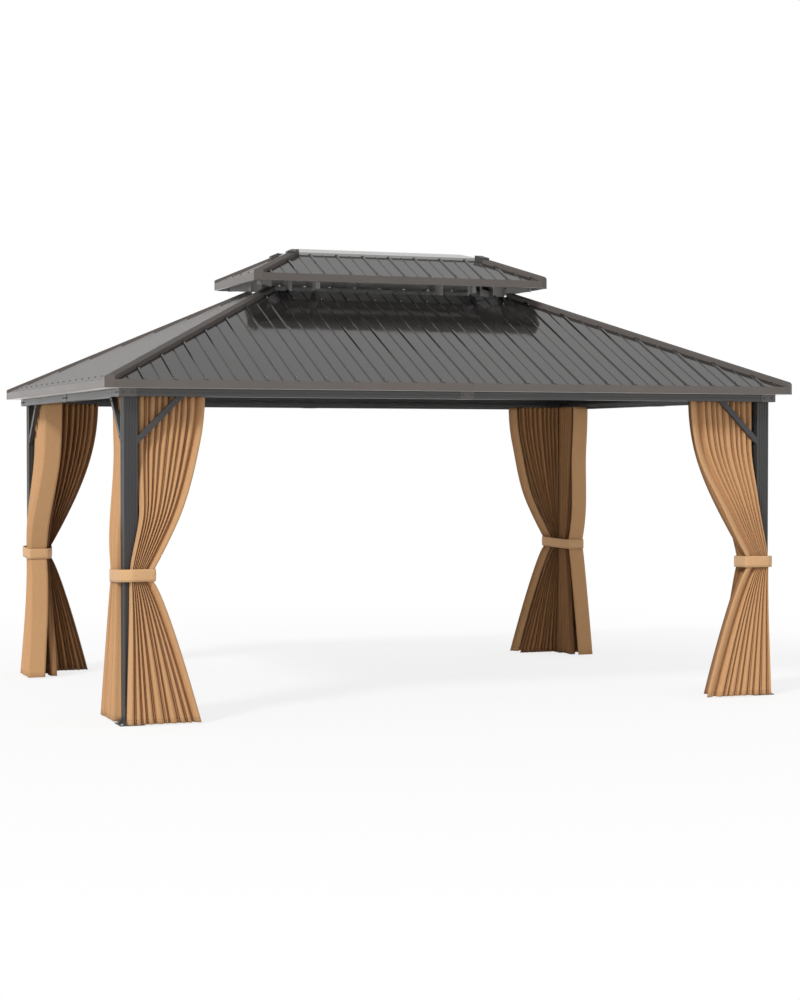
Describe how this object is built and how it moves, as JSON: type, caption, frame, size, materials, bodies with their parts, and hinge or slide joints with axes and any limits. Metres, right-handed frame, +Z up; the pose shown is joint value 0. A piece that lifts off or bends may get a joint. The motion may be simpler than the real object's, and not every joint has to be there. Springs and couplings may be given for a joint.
{
  "type": "hardtop gazebo",
  "caption": "Open metal gazebo with fluted posts, knee braces, a ribbed hip roof with a raised vent tier, and curtains and nets tied to the posts.",
  "frame": {"origin": "on the ground at the middle of the plan", "axes": "+X along the long side to the right, +Y to the back, +Z up"},
  "size_m": [4.8828, 3.5628, 3.1782],
  "materials": {
    "frame": "satin powder coat, slate grey",
    "trim": "satin powder coat, brown grey",
    "roof": "semi-gloss coil coating, dark brown grey",
    "lid": "semi-gloss coil coating, brown grey",
    "block": "moulded end caps",
    "bracket": "satin powder coat, grey",
    "curtain": "woven polyester, tan",
    "net": "mesh netting, brown"
  },
  "bodies": {
    "root": {"post_front_left": "frame", "post_front_right": "frame", "post_back_left": "frame", "post_back_right": "frame", "foot_front_left": "frame", "foot_front_right": "frame", "foot_back_left": "frame", "foot_back_right": "frame", "beam_front": "frame", "beam_back": "frame", "beam_left": "frame", "beam_right": "frame", "corner_covers": "trim", "splice_covers": "trim", "knee_braces": "frame", "curtain_tracks": "frame", "eave_rails": "frame", "hip_rafters": "frame", "common_rafters": "frame", "vent_ring": "frame", "vent_brackets": "bracket", "upper_frame": "frame", "roof_sheet_front": "roof", "roof_sheet_right": "roof", "roof_sheet_back": "roof", "roof_sheet_left": "roof", "eave_fascia": "trim", "hip_caps": "trim", "upper_sheet_front": "roof", "upper_sheet_right": "roof", "upper_sheet_back": "roof", "upper_sheet_left": "roof", "upper_fascia": "trim", "upper_hip_caps": "trim", "hip_end_blocks": "block", "ridge_lid": "lid", "curtains_front_left": "curtain", "curtains_front_right": "curtain", "curtains_back_left": "curtain", "curtains_back_right": "curtain", "nets_front_left": "net", "nets_front_right": "net", "nets_back_left": "net", "nets_back_right": "net", "tie_backs": "curtain"}
  },
  "joints": []
}
